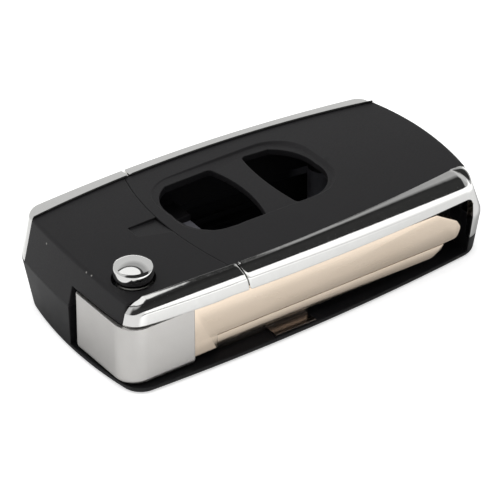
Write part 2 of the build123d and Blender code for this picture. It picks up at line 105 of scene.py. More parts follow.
def inside(tree, place, low, high, fade=0.3):
    """A mask that is 1 between two corners, each given as x, y and z in millimetres."""
    parts = add(tree, "ShaderNodeSeparateXYZ", {0: place})
    mask = 1.0
    for along, start, end in zip(parts.outputs, low, high):
        for edge, step in ((start, fade), (end, -fade)):
            past = add(tree, "ShaderNodeMapRange", {0: along, 1: edge, 2: edge + step})
            mask = add(tree, "ShaderNodeMath", {0: mask, 1: past}, operation="MULTIPLY")
    return mask


def worn(tree, edge, share, colour, bare):
    """The colour, rubbed towards a paler one by that share along the edges."""
    rubbed = add(tree, "ShaderNodeMapRange", {0: edge, 4: share})
    return add(tree, "ShaderNodeMix", {0: rubbed, 6: colour, 7: linear(bare)}, data_type="RGBA")


def close(tree, colour, roughness, relief, normal, **sockets):
    """The surface: its colour, its roughness, and its relief as a pattern and a depth in millimetres."""
    pattern, depth = relief
    bump = add(tree, "ShaderNodeBump", {
        "Height": pattern,
        "Strength": 1.0,
        "Distance": depth * MM,
        "Normal": normal,
    })
    shader = add(tree, "ShaderNodeBsdfPrincipled", {
        "Base Color": colour,
        "Roughness": roughness,
        "Normal": bump,
        **sockets,
    })
    add(tree, "ShaderNodeOutputMaterial", {"Surface": shader})


# Finishes

def moulded_black_abs():
    """Black ABS from a spark-eroded mould: a dull even grain that greys the black and spreads its sheen.
    The real grain is about 0.05 mm, too fine to show, so it is drawn at 0.22 mm."""
    finish, tree, place = new_finish("moulded_black_abs")
    normal, edge = soft_edges(tree, 0.3)
    fine = grain(tree, place, 0.22, detail=3.0)
    cloud = grain(tree, place, 7.0)
    black = add(tree, "ShaderNodeMix", {0: cloud, 6: linear("#111012"), 7: linear("#161517")},
                data_type="RGBA")
    peaks = add(tree, "ShaderNodeMapRange", {0: fine, 1: 0.35, 2: 0.7, 3: 0.0, 4: 0.25})
    greyed = add(tree, "ShaderNodeMix", {0: peaks, 6: black, 7: linear("#252426")}, data_type="RGBA")
    rubbed = worn(tree, edge, 0.3, greyed, "#2c2b2d")
    specks = dust(tree, place, 2.6, 0.05)
    colour = add(tree, "ShaderNodeMix", {0: specks, 6: rubbed, 7: linear("#8d8b88")}, data_type="RGBA")
    rough = add(tree, "ShaderNodeMapRange", {0: fine, 1: 0.3, 2: 0.7, 3: 0.5, 4: 0.62})
    close(tree, colour, rough, (fine, 0.012), normal, IOR=1.43)
    return finish


def polished_abs_painted_darker():
    """Black ABS from a smooth mould face, for the rim and the bottom, with a closer sheen. Its deeper black
    is partly painted shade, for the lower half, which faces sideways and down.
    Inside the hollow it is painted a lighter dark grey, as painted light, which keeps the button openings
    from going quite black. The marks of the mould are about 0.05 mm, and are drawn at 0.3 mm."""
    finish, tree, place = new_finish("polished_abs_painted_darker")
    normal, edge = soft_edges(tree, 0.25)
    fine = grain(tree, place, 0.3, detail=3.0)
    cloud = grain(tree, place, 9.0)
    # Deeper black than the lid's: partly painted shade for the lower half, which faces sideways and down.
    black = add(tree, "ShaderNodeMix", {0: cloud, 6: linear("#0e0e10"), 7: linear("#151517")},
                data_type="RGBA")
    rubbed = worn(tree, edge, 0.3, black, "#2f2e30")
    specks = dust(tree, place, 3.1, 0.04)
    outside = add(tree, "ShaderNodeMix", {0: specks, 6: rubbed, 7: linear("#77756f")}, data_type="RGBA")
    # Painted light: the hollow inside is painted a lighter grey, so the button openings do not go quite
    # black.
    hollow_painted_light = inside(tree, place, (-32.0, -11.4, 1.0), (33.0, 14.2, 20.0))
    colour = add(tree, "ShaderNodeMix", {0: hollow_painted_light, 6: outside, 7: linear("#64646a")}, data_type="RGBA")
    rough = add(tree, "ShaderNodeMapRange", {0: cloud, 1: 0.3, 2: 0.7, 3: 0.42, 4: 0.52})
    close(tree, colour, rough, (fine, 0.006), normal, IOR=1.4)
    return finish


def chrome_plated_abs():
    """Bright chrome on moulded ABS: a mirror with the slight waves of the plastic below it, some 3.5 mm
    long, and a faint film in patches of about a millimetre that softens it unevenly."""
    finish, tree, place = new_finish("chrome_plated_abs")
    normal, _ = soft_edges(tree, 0.12)
    waves = grain(tree, place, 3.5)
    film = grain(tree, place, 1.2, detail=4.0)
    colour = add(tree, "ShaderNodeMix", {0: film, 6: linear("#e6e6e4"), 7: linear("#efefed")},
                 data_type="RGBA")
    rough = add(tree, "ShaderNodeMapRange", {0: film, 1: 0.35, 2: 0.75, 3: 0.06, 4: 0.12})
    close(tree, colour, rough, (waves, 0.02), normal, Metallic=1.0)
    return finish


def satin_zinc_casting():
    """A zinc casting, tumbled and satin nickel plated: a soft grey metal with faint pitting. The pits
    are about 0.1 mm, and are drawn at 0.28 mm."""
    finish, tree, place = new_finish("satin_zinc_casting")
    normal, edge = soft_edges(tree, 0.25)
    fine = grain(tree, place, 0.28, detail=3.0)
    patch = grain(tree, place, 4.5)
    satin = add(tree, "ShaderNodeMix", {0: patch, 6: linear("#d1cfcc"), 7: linear("#dad8d5")},
                data_type="RGBA")
    colour = worn(tree, edge, 0.5, satin, "#eceae7")
    rough = add(tree, "ShaderNodeMapRange", {0: fine, 1: 0.3, 2: 0.7, 3: 0.3, 4: 0.42})
    close(tree, colour, rough, (fine, 0.008), normal, Metallic=1.0)
    return finish


def drawn_nickel_silver():
    """Nickel silver strip for an uncut blade, stamped and lightly brushed along its length: a warm pale
    metal. The brushing is about 0.05 mm apart, and is drawn at 0.2 mm."""
    finish, tree, place = new_finish("drawn_nickel_silver")
    normal, edge = soft_edges(tree, 0.12)
    lines = grain(tree, place, 0.2, detail=3.0, stretch=(40.0, 1.0, 1.0))
    patch = grain(tree, place, 6.0, stretch=(2.0, 1.0, 1.0))
    warm = add(tree, "ShaderNodeMix", {0: patch, 6: linear("#e2d1bd"), 7: linear("#eadac8")},
               data_type="RGBA")
    colour = worn(tree, edge, 0.6, warm, "#f0e6da")
    rough = add(tree, "ShaderNodeMapRange", {0: lines, 1: 0.3, 2: 0.7, 3: 0.17, 4: 0.28})
    close(tree, colour, rough, (lines, 0.004), normal, Metallic=1.0)
    return finish


def rolled_bright_steel():
    """Bright rolled strip steel for the tongue: a clean soft mirror with rolling lines along its length.
    The lines are finer than 0.05 mm, and are drawn at 0.3 mm."""
    finish, tree, place = new_finish("rolled_bright_steel")
    normal, _ = soft_edges(tree, 0.1)
    lines = grain(tree, place, 0.3, detail=3.0, stretch=(25.0, 1.0, 1.0))
    colour = add(tree, "ShaderNodeMix", {0: lines, 6: linear("#b9aea6"), 7: linear("#c6bdb6")},
                 data_type="RGBA")
    rough = add(tree, "ShaderNodeMapRange", {0: lines, 1: 0.3, 2: 0.7, 3: 0.16, 4: 0.28})
    close(tree, colour, rough, (lines, 0.004), normal, Metallic=1.0)
    return finish


def polished_chrome():
    """Polished chrome on turned steel, for the button: a clean mirror that shows the room round it,
    with hardly any film on it."""
    finish, tree, place = new_finish("polished_chrome")
    normal, _ = soft_edges(tree, 0.1)
    film = grain(tree, place, 0.9, detail=4.0)
    colour = add(tree, "ShaderNodeMix", {0: film, 6: linear("#ebebe9"), 7: linear("#f2f2f0")},
                 data_type="RGBA")
    rough = add(tree, "ShaderNodeMapRange", {0: film, 1: 0.35, 2: 0.75, 3: 0.05, 4: 0.1})
    close(tree, colour, rough, (film, 0.003), normal, Metallic=1.0)
    return finish


def plain_steel():
    """Zinc-plated steel for screws, pin, spring, barrel and bar: a plain grey metal with turning marks.
    The marks are about 0.05 mm apart, and are drawn at 0.15 mm."""
    finish, tree, place = new_finish("plain_steel")
    normal, _ = soft_edges(tree, 0.08)
    marks = grain(tree, place, 0.15, detail=2.0, stretch=(1.0, 1.0, 0.3))
    colour = add(tree, "ShaderNodeMix", {0: marks, 6: linear("#9b9b99"), 7: linear("#b3b3b0")},
                 data_type="RGBA")
    rough = add(tree, "ShaderNodeMapRange", {0: marks, 1: 0.3, 2: 0.7, 3: 0.25, 4: 0.38})
    close(tree, colour, rough, (marks, 0.004), normal, Metallic=1.0)
    return finish


# Studio

# How bright polished metal sees each side of the room, where 1 is white. The wall fades upwards
WALL_LOW = 0.62
WALL_HIGH = 0.38
DARK_FRONT = 0.05
RIGHT_WALL = 0.45
PANEL_FRAME = 0.03
PANEL = 1.0
# The overhead panel is an oval: the ways across it and back along it, each scaled to 1 at its edge, and
# how far it lies to the left
PANEL_ACROSS = (1.383, -0.93, 0.0)
PANEL_BACK = (1.55, 2.31, 0.0)
PANEL_TO_LEFT = 0.4
# How bright the room is for dull surfaces
DULL_LIGHT = 0.72

# Where the part stands on the table, from left to right in millimetres
UNDER_PART = (-24.0, 42.0)
TABLE_GLOW = 0.5


def set_camera():
    """A long lens from the front left and above, as the photograph was taken."""
    lens = bpy.data.cameras.new("camera")
    lens.lens = 288.0
    lens.sensor_width = 36.0
    lens.clip_start = 0.01
    lens.clip_end = 10.0
    camera = bpy.data.objects.new("camera", lens)
    bpy.context.scene.collection.objects.link(camera)
    camera.location = (-0.32923534, -0.48948249, 0.39540855)
    camera.rotation_euler = (math.radians(90 - 33.4), 0.0, math.radians(-33.9))
    bpy.context.scene.camera = camera


def sight(tree):
    """Masks that are 1 for what the camera sees straight, and for what metal and glass mirror or pass."""
    ray = add(tree, "ShaderNodeLightPath").outputs
    mirrored = add(tree, "ShaderNodeMath", {
        0: ray["Is Glossy Ray"],
        1: ray["Is Transmission Ray"],
    }, operation="MAXIMUM")
    return ray["Is Camera Ray"], mirrored


def set_room():
    """A white room for the camera and soft even light for dull surfaces. Polished metal also sees
    a dark front half of the room, grey walls behind and to the right, and a white panel in a dark frame
    overhead."""
    world = bpy.data.worlds.new("studio")
    bpy.context.scene.world = world
    world.use_nodes = True
    tree = world.node_tree
    tree.nodes.clear()
    way = add(tree, "ShaderNodeTexCoord").outputs["Generated"]
    to_right, to_back, up = add(tree, "ShaderNodeSeparateXYZ", {0: way}).outputs
    wall = add(tree, "ShaderNodeMapRange", {0: up, 1: 0.6, 2: 0.8, 3: WALL_LOW, 4: WALL_HIGH})
    front = add(tree, "ShaderNodeMapRange", {0: to_back, 1: -0.3, 2: -0.12, 3: DARK_FRONT, 4: 1.0})
    halves = add(tree, "ShaderNodeMath", {0: wall, 1: front}, operation="MULTIPLY")
    right = add(tree, "ShaderNodeMapRange", {0: to_right, 1: 0.76, 2: 0.84, 3: 0.0, 4: RIGHT_WALL})
    seen = add(tree, "ShaderNodeMath", {0: halves, 1: right}, operation="MAXIMUM")
    across = add(tree, "ShaderNodeVectorMath", {0: way, 1: PANEL_ACROSS}, operation="DOT_PRODUCT")
    back = add(tree, "ShaderNodeVectorMath", {0: way, 1: PANEL_BACK}, operation="DOT_PRODUCT")
    off_centre = add(tree, "ShaderNodeMath", {0: across, 1: PANEL_TO_LEFT}, operation="ADD")
    on_panel = add(tree, "ShaderNodeCombineXYZ", {0: off_centre, 1: back})
    out = add(tree, "ShaderNodeVectorMath", {0: on_panel}, operation="LENGTH")
    overhead = add(tree, "ShaderNodeMapRange", {0: up, 1: 0.6, 2: 0.62})
    for edge, end, bright in ((1.25, 1.2, PANEL_FRAME), (1.04, 0.98, PANEL)):
        within = add(tree, "ShaderNodeMapRange", {0: out, 1: edge, 2: end})
        there = add(tree, "ShaderNodeMath", {0: within, 1: overhead}, operation="MULTIPLY")
        seen = add(tree, "ShaderNodeMix", {0: there, 2: seen, 3: bright})
    straight, mirrored = sight(tree)
    plain = add(tree, "ShaderNodeMix", {0: straight, 2: DULL_LIGHT, 3: 1.0})
    strength = add(tree, "ShaderNodeMix", {0: mirrored, 2: plain, 3: seen})
    light = add(tree, "ShaderNodeBackground", {"Color": linear("#ffffff"), "Strength": strength})
    add(tree, "ShaderNodeOutputWorld", {"Surface": light})


def set_lamp():
    """One broad soft lamp overhead, a little to the front left."""
    lamp = bpy.data.lights.new("overhead", "AREA")
    lamp.shape = "DISK"
    lamp.size = 0.5
    lamp.energy = 1.1
    held = bpy.data.objects.new("overhead", lamp)
    held.location = (-0.12, -0.05, 0.55)
    held.rotation_euler = (-Vector(held.location)).to_track_quat("-Z", "Y").to_euler()
    held.visible_glossy = False
    bpy.context.scene.collection.objects.link(held)


def white_table():
    """White laminate: even and dull, so it keeps the part's soft shadow. Metal sees it painted darker close
    to the part, as painted shade in its reflections, and glowing further out, but for the far left."""
    finish, tree, place = new_finish("white_table")
    x, y, _ = add(tree, "ShaderNodeSeparateXYZ", {0: place}).outputs
    below = add(tree, "ShaderNodeClamp", {0: x, 1: UNDER_PART[0], 2: UNDER_PART[1]})
    past_end = add(tree, "ShaderNodeMath", {0: x, 1: below}, operation="SUBTRACT")
    off = add(tree, "ShaderNodeCombineXYZ", {0: past_end, 1: y})
    away = add(tree, "ShaderNodeVectorMath", {0: off}, operation="LENGTH")
    far_off = add(tree, "ShaderNodeMapRange", {0: away, 1: 34.0, 2: 50.0})
    right_of = add(tree, "ShaderNodeMapRange", {0: x, 1: -46.0, 2: -36.0})
    glowing = add(tree, "ShaderNodeMath", {0: far_off, 1: right_of}, operation="MULTIPLY")
    straight, mirrored = sight(tree)
    in_mirror = add(tree, "ShaderNodeMath", {0: mirrored, 1: glowing}, operation="MULTIPLY")
    lit = add(tree, "ShaderNodeMath", {0: straight, 1: in_mirror}, operation="MAXIMUM")
    # Painted shade: in metal's reflections the table's colour is painted darker close to the part.
    painted_shade_near_part = add(tree, "ShaderNodeMapRange", {0: away, 1: 16.0, 2: 24.5, 3: 0.5, 4: 1.0})
    tone = add(tree, "ShaderNodeMix", {0: mirrored, 2: 1.0, 3: painted_shade_near_part})
    shader = add(tree, "ShaderNodeBsdfPrincipled", {
        "Base Color": add(tree, "ShaderNodeMix", {0: tone, 6: linear("#000000"), 7: linear("#f0f0f0")},
                          data_type="RGBA"),
        "Roughness": 0.9,
        "Emission Color": linear("#ffffff"),
        "Emission Strength": add(tree, "ShaderNodeMath", {0: lit, 1: TABLE_GLOW}, operation="MULTIPLY"),
    })
    add(tree, "ShaderNodeOutputMaterial", {"Surface": shader})
    return finish


def set_floor():
    """A table top that runs far out."""
    sheet = bmesh.new()
    bmesh.ops.create_grid(sheet, x_segments=8, y_segments=8, size=6.0)
    mesh = bpy.data.meshes.new("floor")
    sheet.to_mesh(mesh)
    sheet.free()
    mesh.materials.append(white_table())
    floor = bpy.data.objects.new("floor", mesh)
    bpy.context.scene.collection.objects.link(floor)


# Shape of the case, in millimetres

# The lid's double arch: its highest point, the bend along the case and the bend across it
CROWN_Z = 19.5
CROWN_X = 10.0
ARCH_RADIUS = 800.0
CROWN_RADIUS = 206.0
# Where the halves of the case meet, the top of the blade's slot, and the foot and place of the post
PARTING_Z = 9.3
SLOT_TOP_Z = 13.3
POST_BOTTOM_Z = 4.3
POST_X = 36.2
# Where the strips start to turn round the left corners, and round the far right corner
CORNER_X = -33.5
FAR_CORNER_X = 33.2
END_MIDDLE_Y = -2.0

# The case seen from above at its underside, its parting line and just over its lid: the height, then
# a long side's reach, widest place and bend, then the place, bend and corner radius of each end
NEAR_CASE = (
    (0.0, (19.4, -25.0, 440.0), (-38.1, 75.0, 4.0), (40.2, 150.0, 5.0)),
    (9.3, (19.0, -8.0, 425.0), (-38.4, 150.0, 4.5), (40.1, 150.0, 3.5)),
    (20.5, (18.8, -8.0, 425.0), (-35.9, 120.0, 3.0), (36.9, 55.0, 3.0)),
)
FAR_CASE = (
    (0.0, (18.9, -17.0, 385.0), (-38.1, 75.0, 7.0), (40.2, 150.0, 5.0)),
    (9.3, (19.9, -17.0, 385.0), (-38.4, 150.0, 4.5), (40.1, 150.0, 3.5)),
    (20.5, (19.7, -17.0, 385.0), (-35.9, 120.0, 3.0), (36.9, 55.0, 3.0)),
)
# The lid's long edges beside the strips: reach, widest place and bend
LID_EDGE = (17.05, -9.0, 263.0)

# The key's upright pivot, and how far the folded blade leans to the far side
PIVOT = (-31.0, -10.2)
KEY_LEAN = math.radians(1.6)


def reach(side, x):
    """How far out a long side lies at x."""
    out, widest, bend = side
    return out - bend + (bend ** 2 - (x - widest) ** 2) ** 0.5


def lid_top(x, y):
    """Height of the doubly arched lid."""
    along = CROWN_Z - ARCH_RADIUS + math.sqrt(ARCH_RADIUS ** 2 - (x - CROWN_X) ** 2)
    centre = CROWN_Z - CROWN_RADIUS
    return centre + math.sqrt((along - centre) ** 2 - y ** 2)


def corner_centre(side_hub, side_bend, end_hub, end):
    """Where the corner's arc is centred, between a long side and an end."""
    place, end_bend, corner = end
    from_side, from_end = side_bend - corner, end_bend - corner
    gap = end_hub - side_hub
    along = (from_side ** 2 - from_end ** 2 + gap.length ** 2) / (2 * gap.length)
    off = math.sqrt(from_side ** 2 - along ** 2)
    unit = gap.normalized()
    across = Vector((-unit.y, unit.x))
    found = [side_hub + unit * along + across * off * sign for sign in (1, -1)]
    return min(found, key=lambda c: abs(c.x - place))


def sweep(hub, radius, first, last, count):
    """Rows of x, y and outward direction along an arc."""
    angles = np.linspace(first, last, count)
    x, y = np.cos(angles), np.sin(angles)
    return np.column_stack((hub.x + radius * x, hub.y + radius * y, x, y))


def bearing(hub, to):
    """The angle at which one point lies from another."""
    return math.atan2(to.y - hub.y, to.x - hub.x)


@lru_cache(maxsize=None)
def plan_of(side, left, right, middle_y):
    """Half the case from above, from the middle of its left end round one long side to its right end."""
    out, widest, bend = side
    hub = Vector((widest, out - bend))
    left_hub = Vector((left[0] + left[1], middle_y))
    right_hub = Vector((right[0] - right[1], middle_y))
    first = corner_centre(hub, bend, left_hub, left)
    second = corner_centre(hub, bend, right_hub, right)
    into_first, out_of_first = bearing(left_hub, first), bearing(hub, first)
    into_second, out_of_second = bearing(hub, second), bearing(right_hub, second)
    return np.concatenate((
        sweep(left_hub, left[1], math.pi, into_first, 20),
        sweep(first, left[2], into_first, out_of_first, 160),
        sweep(hub, bend, out_of_first, into_second, 160),
        sweep(second, right[2], into_second, out_of_second, 160),
        sweep(right_hub, right[1], out_of_second, 0.0, 20),
    ))


def outline_at(case, middle_y, z):
    """The same half outline at any height, straight between the three drawn ones."""
    low, high = case[:2] if z < PARTING_Z else case[1:]
    share = (z - low[0]) / (high[0] - low[0])
    below, above = (plan_of(*level[1:], middle_y) for level in (low, high))
    return below + (above - below) * share


def new_piece(name, finish):
    """An empty mesh piece with its finish."""
    mesh = bpy.data.meshes.new(name)
    mesh.materials.append(finish)
    piece = bpy.data.objects.new(name, mesh)
    bpy.context.scene.collection.objects.link(piece)
    return piece


def fill(piece, work, sharp=40.0):
    """Puts the worked mesh, drawn in millimetres, into its piece and smooths all but sharp edges."""
    bmesh.ops.recalc_face_normals(work, faces=work.faces)
    bmesh.ops.scale(work, vec=(MM, MM, MM), verts=work.verts)
    work.to_mesh(piece.data)
    work.free()
    piece.data.shade_smooth()
    piece.data.set_sharp_from_angle(angle=math.radians(sharp))


def skin(work, rings, closed_ring=True, capped=True):
    """Quads between each ring of points and the next, and a face on each open end."""
    rows = [[work.verts.new(point) for point in ring] for ring in rings]
    count = len(rows[0])
    for row, after in zip(rows, rows[1:]):
        for i in range(count if closed_ring else count - 1):
            j = (i + 1) % count
            work.faces.new((row[i], row[j], after[j], after[i]))
    if capped:
        for row in (rows[0], rows[-1]):
            face = work.faces.new(row)
            bmesh.ops.triangulate(work, faces=[face])


def smooth_share(value, low, high):
    """0 below low, 1 above high, and an even S between them."""
    share = min(1.0, max(0.0, (value - low) / (high - low)))
    return share * share * (3 - 2 * share)


# Plated side strips

# The near seam between the strips: the place of its bend, and how far it leans for each millimetre of
# height above and below that
SEAM_BEND_X = -13.15
SEAM_BEND_Z = 15.6
SEAM_SLOPE_ABOVE = 0.5
SEAM_SLOPE_BELOW = 0.15
STRIP_SEAM_GAP = 0.22
STRIP_END_ROUND = 0.42
SLOT_CORNER_ROUND = 1.5
# The radius of the shoulder round the corner, the height of the lower edge, and whether a post goes down
# at the end
NEAR_FRONT = (2.8, SLOT_TOP_Z, False)
NEAR_REAR = (1.7, SLOT_TOP_Z, True)
FAR = (0.9, PARTING_Z, False)
# How far the near strips have turned where the corner's shoulder starts, and where it is full
FRONT_TURN = (0.15, 0.75)
REAR_TURN = (0.35, 0.8)
# How much lower the near front strip's edge lies at its left end, and between which places it drops
FLANGE_DROP = 0.2
FLANGE_DROP_X = (16.0, 20.0)

# The near strip's shoulder along the case: x, the height where its face turns upright, how far its
# inner edge stands over the lid, how steep that edge is, and how deep the crease under the shoulder is
NEAR_SHOULDER = (
    (-36.0, 15.9, 0.3, 71.0, 1.0),
    (-23.0, 15.85, 0.3, 71.0, 1.0),
    (-16.0, 15.88, 0.2, 71.0, 1.0),
    (-9.0, 15.9, 0.1, 71.0, 0.35),
    (0.0, 15.75, 0.0, 72.0, 0.3),
    (8.0, 15.55, 0.0, 72.0, 0.3),
    (17.0, 15.35, 0.0, 72.0, 0.2),
    (26.0, 15.1, 0.0, 72.0, 0.0),
    (34.0, 14.9, 0.0, 72.0, 0.0),
    (36.5, 14.3, 0.0, 72.0, 0.0),
    (39.0, 13.9, 0.0, 72.0, 0.0),
)
NEAR_SPLIT = 40.0
# The far strip's: how far it drops, how far it stands over the lid, the angle where its two bends meet,
# and how steep it is at the lid
FAR_SHOULDER = (1.2, 0.06, 79.0, 89.0)
# The crease under the near shoulder: how far down each point lies, and how far in
CREASE = ((0.0, 0.0), (0.06, 0.03), (0.12, 0.14), (0.2, 0.17), (0.32, 0.11))
# The height near the lid's edge at which the shoulder is measured, the far strip's lap over that edge,
# and the rounding of the strip's upper edge
LID_EDGE_Z = 17.8
FAR_LAP = 0.1
EDGE_ROUND = 0.12


@lru_cache(maxsize=None)
def strip_run(mirror, facing, z):
    """A strip's way round the case at height z, and the lengths along it at its seam, bend and end."""
    case = FAR_CASE if mirror > 0 else NEAR_CASE
    rows = outline_at(case, mirror * END_MIDDLE_Y, z)[::facing]
    x = rows[:, 0] * facing
    length = np.concatenate(([0.0], np.cumsum(np.hypot(*np.diff(rows[:, :2], axis=0).T))))
    slope = SEAM_SLOPE_ABOVE if z > SEAM_BEND_Z else SEAM_SLOPE_BELOW
    seam = SEAM_BEND_X + facing * STRIP_SEAM_GAP / 2 + slope * (SEAM_BEND_Z - z)
    start = np.interp(facing * seam, x, length)
    corner = CORNER_X
    if facing > 0:
        corner = POST_X if mirror < 0 else FAR_CORNER_X
    bend = np.interp(facing * corner, x, length)
    clear = rows[:, 1] - reach(LID_EDGE, rows[:, 0])
    i = int(np.argmax((length > bend) & (clear <= 0)))
    share = clear[i - 1] / (clear[i - 1] - clear[i])
    return rows, length, (start, bend, length[i - 1] + (length[i] - length[i - 1]) * share)


def on_case(mirror, facing, z, share):
    """A point on the case and its outward direction. share runs from 0 at the strip's seam to 2 at its
    end."""
    rows, length, stops = strip_run(mirror, facing, round(z, 3))
    at = np.interp(share, (0.0, 1.0, 2.0), stops)
    x, y, across, out = (float(np.interp(at, length, rows[:, i])) for i in range(4))
    return Vector((x, y)), Vector((across, out)).normalized()


def two_bends(depth, height, split, top, count=19):
    """Insets and heights down a shoulder of that depth and height: one bend from the steepest angle at
    its top to the split angle, and another from there to upright."""
    split, top = math.radians(split), math.radians(top)
    low = (1 - math.cos(split), math.sin(split))
    high = (math.cos(split) - math.cos(top), math.sin(top) - math.sin(split))
    scale = low[0] * high[1] - high[0] * low[1]
    low_radius = max(0.2, (depth * high[1] - high[0] * height) / scale)
    high_radius = max(0.2, (low[0] * height - low[1] * depth) / scale)
    made = []
    for i in range(count + 1):
        angle = top * (1 - i / count)
        under = min(angle, split)
        inset = low_radius * (1 - math.cos(under)) + high_radius * (math.cos(under) - math.cos(angle))
        rise = low_radius * math.sin(under) + high_radius * (math.sin(angle) - math.sin(under))
        made.append((inset, rise))
    full_inset, full_rise = made[0]
    return [(inset * depth / full_inset, rise * height / full_rise) for inset, rise in made]


def strip_bottom(low_z, has_post, share, x):
    """How low a strip reaches: to the slot, round the slot's corner, or down its post."""
    into = x - POST_X + SLOT_CORNER_ROUND
    if has_post and share >= 1:
        return POST_BOTTOM_Z
    if has_post and into > 0:
        return low_z - SLOT_CORNER_ROUND + math.sqrt(max(0.0, SLOT_CORNER_ROUND ** 2 - into ** 2))
    return low_z


def corner_shoulder(depth, rise, radius):
    """Insets and heights of the plain round shoulder, flat on top, that a strip has round a corner."""
    flat = max(0.0, depth - radius)
    steepest = math.pi / 2
    if depth < radius:
        steepest = math.acos(max(0.0, 1 - depth / radius))
    rows = [(depth - flat * i / 3, rise + radius * math.sin(steepest)) for i in range(3)]
    for i in range(17):
        angle = steepest * (1 - i / 16)
        rows.append((radius * (1 - math.cos(angle)), rise + radius * math.sin(angle)))
    return rows


def side_shoulder(mirror, x, depth, lid_z):
    """Insets and heights of the shoulder along a side, and how deep the crease under it is."""
    if mirror > 0:
        drop, over, split, steep = FAR_SHOULDER
        base, crease = lid_z + over - drop, 0.0
    else:
        places, *columns = zip(*NEAR_SHOULDER)
        base, over, steep, crease = (float(np.interp(x, places, column)) for column in columns)
        split = NEAR_SPLIT
    rows = two_bends(depth, lid_z + over - base, split, steep)
    return [(inset, base + up) for inset, up in rows], crease


def strip_ring(mirror, facing, share, make):
    """One cross-section of a strip: over its round shoulder, down its face, and back up inside."""
    corner_round, low_z, has_post = make
    at, way = on_case(mirror, facing, SLOT_TOP_Z, share)
    in_corner = 0.0
    if mirror < 0:
        in_corner = smooth_share(abs(way.x), *(FRONT_TURN if facing < 0 else REAR_TURN))
    if mirror < 0 and facing < 0:
        low_z -= FLANGE_DROP * smooth_share(-at.x, *FLANGE_DROP_X)
    bottom_z = strip_bottom(low_z, has_post, share, at.x)

    def outer(z, depth):
        there, out = on_case(mirror, facing, z, share)
        return Vector((there.x - out.x * depth, mirror * (there.y - out.y * depth), z))

    def to_lid_edge(z):
        low, high = 0.0, 6.0
        for _ in range(20):
            middle = (low + high) / 2
            point = outer(z, middle)
            if mirror * point.y > reach(LID_EDGE, point.x):
                low = middle
            else:
                high = middle
        return max(low, 0.05)

    top = outer(LID_EDGE_Z, corner_round)
    rise = lid_top(top.x, top.y) - corner_round
    depth = to_lid_edge(rise + corner_round) + (FAR_LAP if mirror > 0 else 0.0)
    edge = outer(LID_EDGE_Z, depth)
    along, crease = side_shoulder(mirror, at.x, depth, lid_top(edge.x, edge.y))
    edge_round = min(EDGE_ROUND, depth / 3)
    points = []
    for (inset, z), (corner_inset, corner_z) in zip(along, corner_shoulder(depth, rise, corner_round)):
        inset += (corner_inset - inset) * in_corner
        z += (corner_z - z) * in_corner
        points.append(outer(z, inset if points else max(0.0, inset - edge_round)))

    peak, foot = points[0].z, points[-1].z - 0.02
    crease *= 1 - in_corner
    down, set_back = CREASE[-1][0], CREASE[-1][1] * crease
    face = foot - down - bottom_z - 0.2
    wall, behind = max(0.3, min(1.0, depth)), max(0.35, depth)
    rows = [(foot - drop, inset * crease) for drop, inset in CREASE]
    rows += [(foot - down - face * i / 14, set_back) for i in range(1, 15)]
    rows += [
        (bottom_z + 0.06, set_back + 0.05),
        (bottom_z, set_back + 0.2),
        (bottom_z, wall),
        (low_z + 0.4, wall),
        (low_z + 0.5, behind),
        (peak - 0.4, behind - 0.02),
        (peak - edge_round, depth),
    ]
    return points + [outer(z, inset) for z, inset in rows]


def round_off(rings):
    """Rounds the strip's edge at its seam by drawing the first cross-section in."""
    ring, after = rings[:2]
    middle = sum(ring, Vector()) / len(ring)
    back = (after[0] - ring[0]).normalized()
    ends = []
    for angle in (0.0, 22.0, 45.0, 68.0, 90.0):
        turn = math.radians(angle)
        inward = STRIP_END_ROUND * (1 - math.sin(turn))
        along = STRIP_END_ROUND * (1 - math.cos(turn))
        ends.append([point + (middle - point).normalized() * inward + back * along for point in ring])
    return ends + rings[1:]


def plated_strip(name, node, body, finish, mirror, facing, make):
    """Sweeps a strip's cross-section from its seam round the case's corner to the edge of the lid. The
    cross-sections stand 0.8 mm apart, and closer in the last 3 mm before the corner and round it."""
    start, bend, _ = strip_run(mirror, facing, SLOT_TOP_Z)[2]
    near_bend = 1 - 3.0 / (bend - start)
    shares = list(np.linspace(0.0, near_bend, round((bend - start) / 0.8)))
    shares += list(np.linspace(near_bend, 0.9999, 26))[1:]
    shares += list(np.linspace(1.0, 2.0, 34))
    work = bmesh.new()
    skin(work, round_off([strip_ring(mirror, facing, share, make) for share in shares]))
    piece = new_piece(name, finish)
    fill(piece, work)
    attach(piece, body)
    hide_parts(node)


def fit_strips(plating):
    """Four strips: a deep round shoulder on the near side, a low one on the far side."""
    plated_strip("near_front_trim", "near_front_strip", "key_module", plating, -1, -1, NEAR_FRONT)
    plated_strip("near_rear_trim", "near_rear_strip", "remote", plating, -1, 1, NEAR_REAR)
    plated_strip("far_front_trim", "far_front_strip", "key_module", plating, 1, -1, FAR)
    plated_strip("far_rear_trim", "far_rear_strip", "remote", plating, 1, 1, FAR)


# Release button

def turned(work, profile, centre, count=96):
    """Turns a profile of radius and height round an upright axis."""
    rings = []
    for radius, z in profile:
        turns = [2 * math.pi * i / count for i in range(count)]
        rings.append([(centre[0] + radius * math.cos(a), centre[1] + radius * math.sin(a), z) for a in turns])
    skin(work, rings)


def arc(centre, radius, first, last, count):
    """Points on an arc between two angles in degrees."""
    made = []
    for i in range(count + 1):
        angle = math.radians(first + (last - first) * i / count)
        made.append((centre[0] + radius * math.cos(angle), centre[1] + radius * math.sin(angle)))
    return made


